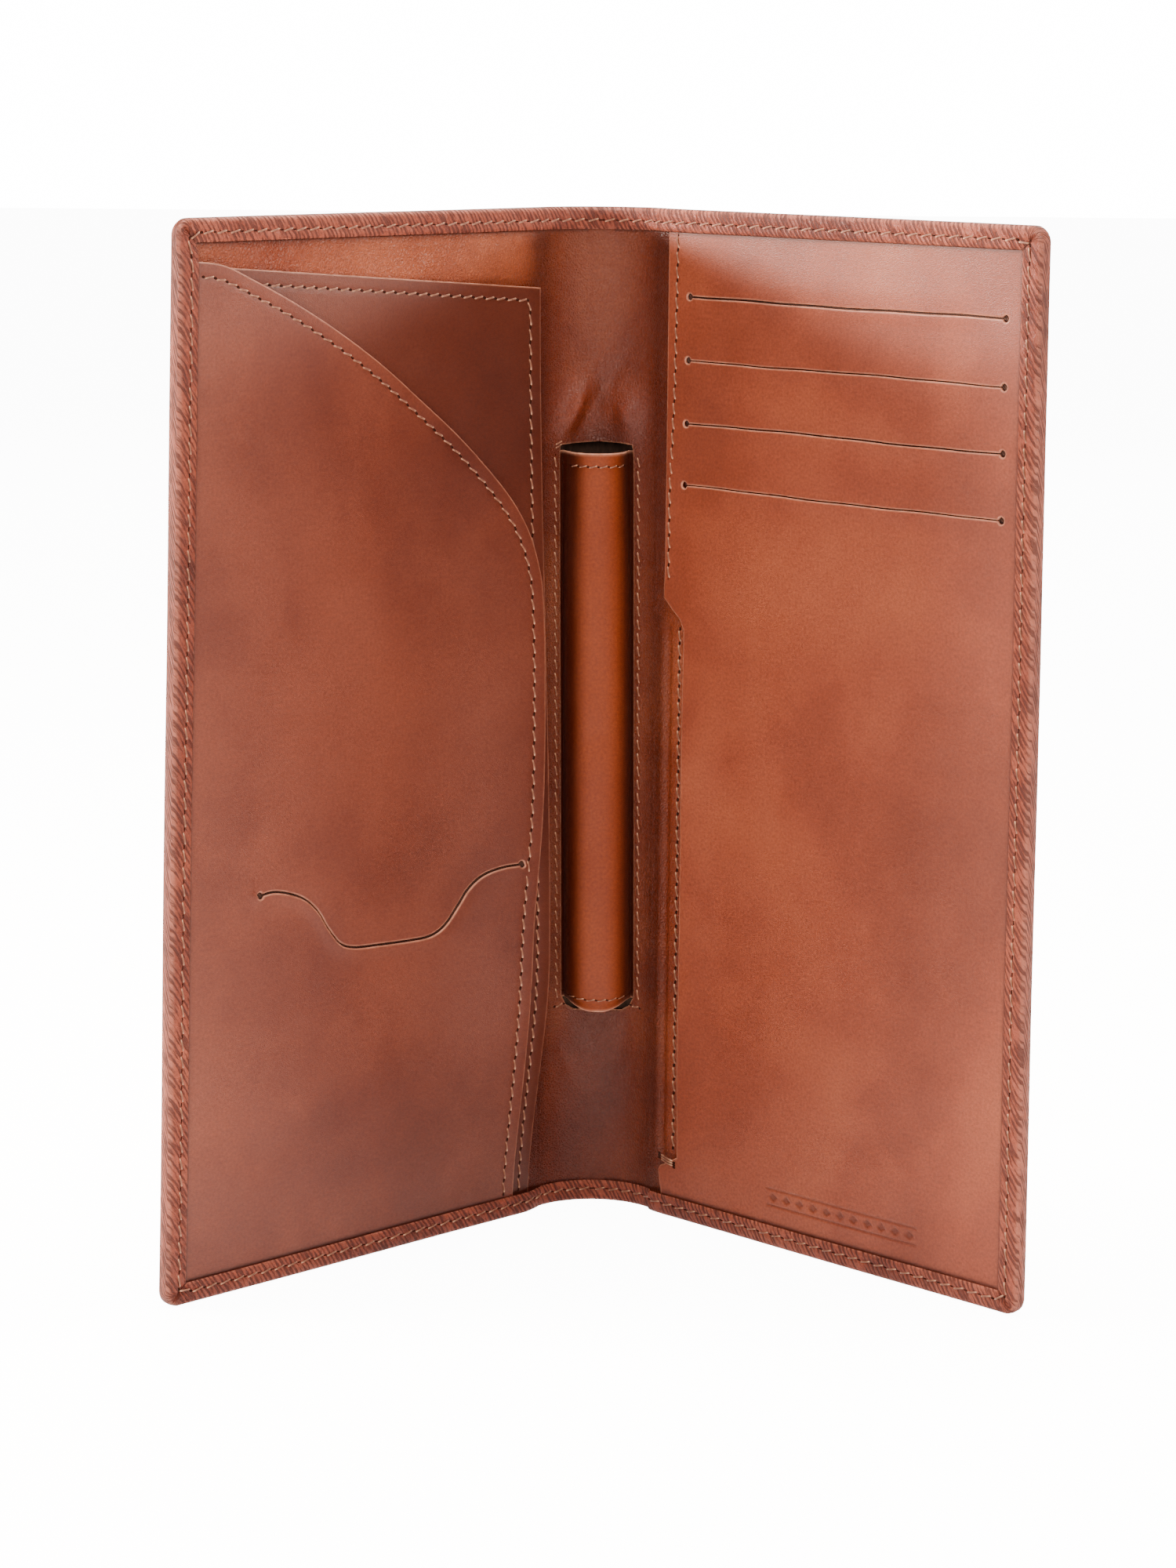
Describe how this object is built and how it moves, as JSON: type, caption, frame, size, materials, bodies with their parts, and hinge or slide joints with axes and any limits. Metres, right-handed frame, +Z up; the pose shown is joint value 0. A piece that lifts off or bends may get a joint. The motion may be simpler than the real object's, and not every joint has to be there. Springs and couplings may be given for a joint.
{
  "type": "travel document organizer",
  "caption": "Book-style leather travel wallet standing half open, with folding covers, document pockets, card slots and a pen loop on the spine.",
  "frame": {"origin": "centre of the bounding box's bottom, on the surface that the wallet stands on", "axes": "+Z up along the spine, +Y out of the spine's back, interior towards -Y, +X towards the card cover"},
  "size_m": [0.1824, 0.087, 0.23],
  "materials": {
    "outer_leather": "fine diagonal emboss, satin, turned and stitched edges",
    "lining_leather": "smooth glazed, cloudy chestnut",
    "pocket_leather": "smooth, soft sheen, cloudy brown",
    "pen_loop_leather": "smooth glazed, dark chestnut",
    "seam_thread": "waxed brown thread",
    "board": "plain paper board, hidden",
    "liner_cloth": "thin lining cloth, mostly hidden"
  },
  "bodies": {
    "spine": {"outer_cover_spine": "outer_leather", "spine_stay": "liner_cloth", "lining_spine": "lining_leather", "pen_loop": "pen_loop_leather", "pen_loop_seam_left": "seam_thread", "pen_loop_seam_right": "seam_thread", "pen_loop_hem_seam_top": "seam_thread", "pen_loop_hem_seam_bottom": "seam_thread", "perimeter_seam_spine_top": "seam_thread", "perimeter_seam_spine_bottom": "seam_thread"},
    "left_cover": {"outer_cover_left": "outer_leather", "cover_board_left": "board", "lining_left": "lining_leather", "back_pocket_left": "lining_leather", "back_pocket_seam": "seam_thread", "slit_pocket_liner": "liner_cloth", "front_pocket_left": "pocket_leather", "front_pocket_seam": "seam_thread", "perimeter_seam_left": "seam_thread"},
    "right_cover": {"outer_cover_right": "outer_leather", "cover_board_right": "board", "lining_right": "lining_leather", "card_panel_right": "pocket_leather", "card_panel_seam": "seam_thread", "side_pocket_seam": "seam_thread", "side_pocket_bar_tack": "seam_thread", "perimeter_seam_right": "seam_thread", "card_pocket_liner_1": "liner_cloth", "card_pocket_liner_2": "liner_cloth", "card_pocket_liner_3": "liner_cloth", "card_pocket_liner_4": "liner_cloth"}
  },
  "joints": [
    {"name": "left_cover_fold", "type": "hinge", "parent": "spine", "child": "left_cover", "pos_m": [-0.01525, 0.03512, 0.115], "axis": [0, 0, 1], "range_deg": [-45, 50]},
    {"name": "right_cover_fold", "type": "hinge", "parent": "spine", "child": "right_cover", "pos_m": [0.01525, 0.03512, 0.115], "axis": [0, 0, -1], "range_deg": [-45, 50]}
  ]
}
